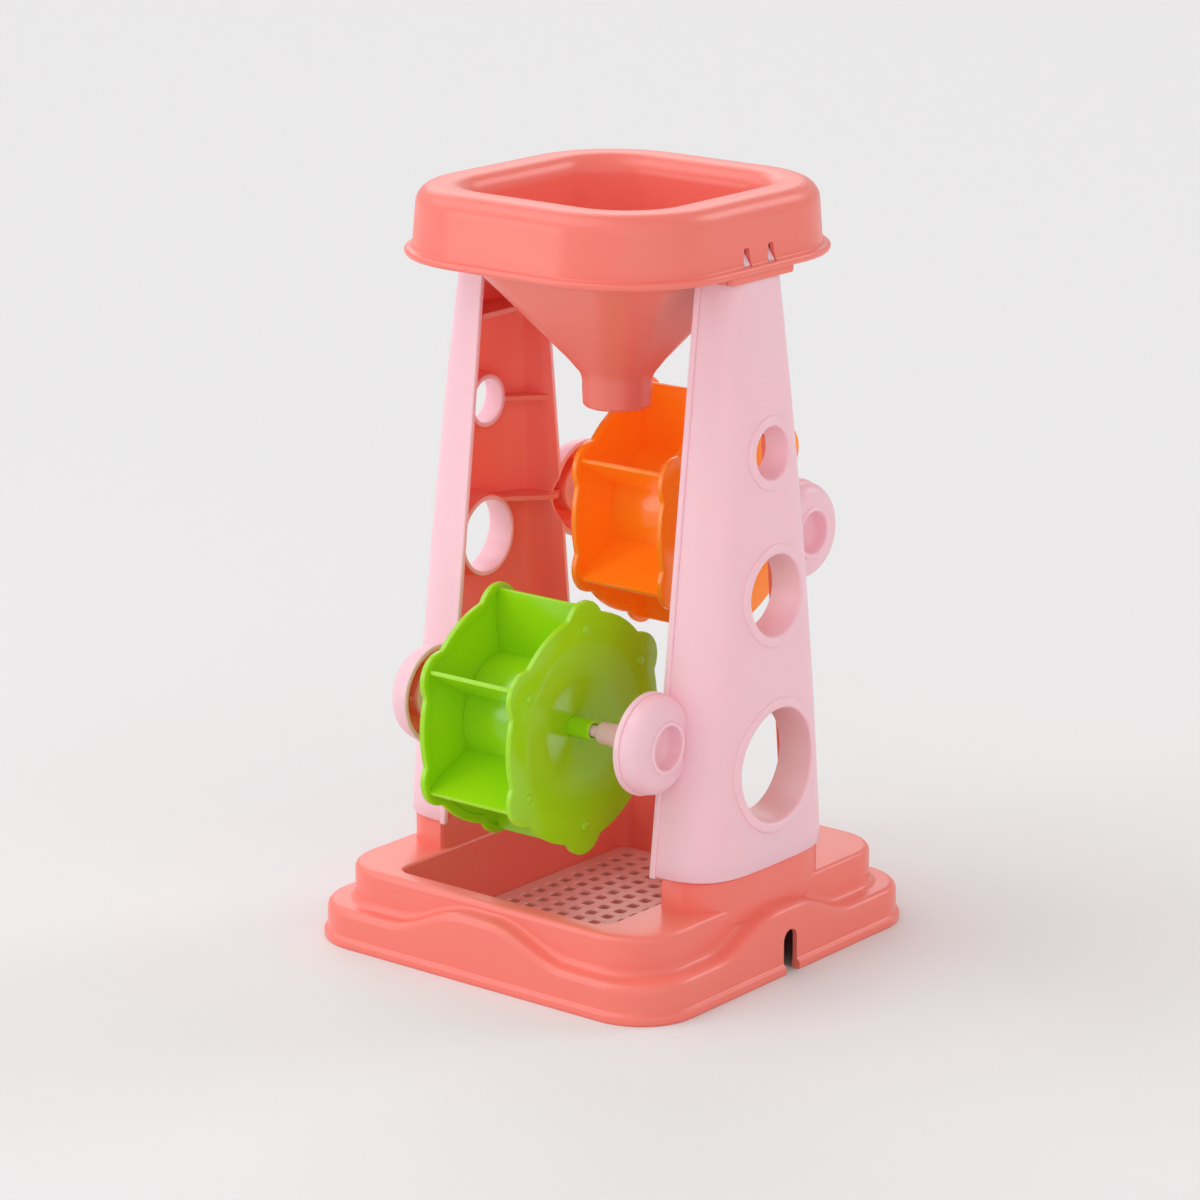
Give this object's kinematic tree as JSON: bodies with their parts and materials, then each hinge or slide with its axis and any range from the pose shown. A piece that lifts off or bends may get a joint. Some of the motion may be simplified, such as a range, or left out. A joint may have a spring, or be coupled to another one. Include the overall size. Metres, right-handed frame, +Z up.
{
  "type": "sand wheel toy",
  "caption": "Sand and water wheel toy: a square hopper on two pierced uprights pours onto paddle wheels that spin above a sieve tray in a stepped base.",
  "frame": {"origin": "centre of the base's outline, on the surface that the toy stands on", "axes": "+Z up, +X along the wheels' axles towards the right upright, -Y towards the low wheel"},
  "size_m": [0.1764, 0.1828, 0.3],
  "materials": {
    "coral_plastic": "glossy injection-moulded coral plastic",
    "sieve_plastic": "glossy injection-moulded plastic, a paler dusty pink",
    "pink_plastic": "satin injection-moulded pale pink plastic",
    "lime_plastic": "glossy, slightly translucent lime green plastic",
    "orange_plastic": "glossy, slightly translucent orange plastic"
  },
  "bodies": {
    "frame": {"base": "coral_plastic", "sieve_floor": "sieve_plastic", "left_upright": "pink_plastic", "right_upright": "pink_plastic", "hopper": "coral_plastic"},
    "lower_wheel": {"lower_wheel_drum": "lime_plastic", "lower_wheel_left_disc": "lime_plastic", "lower_wheel_right_disc": "lime_plastic"},
    "upper_wheel": {"upper_wheel_drum": "orange_plastic", "upper_wheel_left_disc": "orange_plastic", "upper_wheel_right_disc": "orange_plastic"}
  },
  "joints": [
    {"name": "lower_wheel_spin", "type": "hinge", "parent": "frame", "child": "lower_wheel", "pos_m": [0, -0.047, 0.097], "axis": [1, 0, 0], "continuous": true},
    {"name": "upper_wheel_spin", "type": "hinge", "parent": "frame", "child": "upper_wheel", "pos_m": [0, 0.045, 0.1624], "axis": [1, 0, 0], "continuous": true}
  ]
}
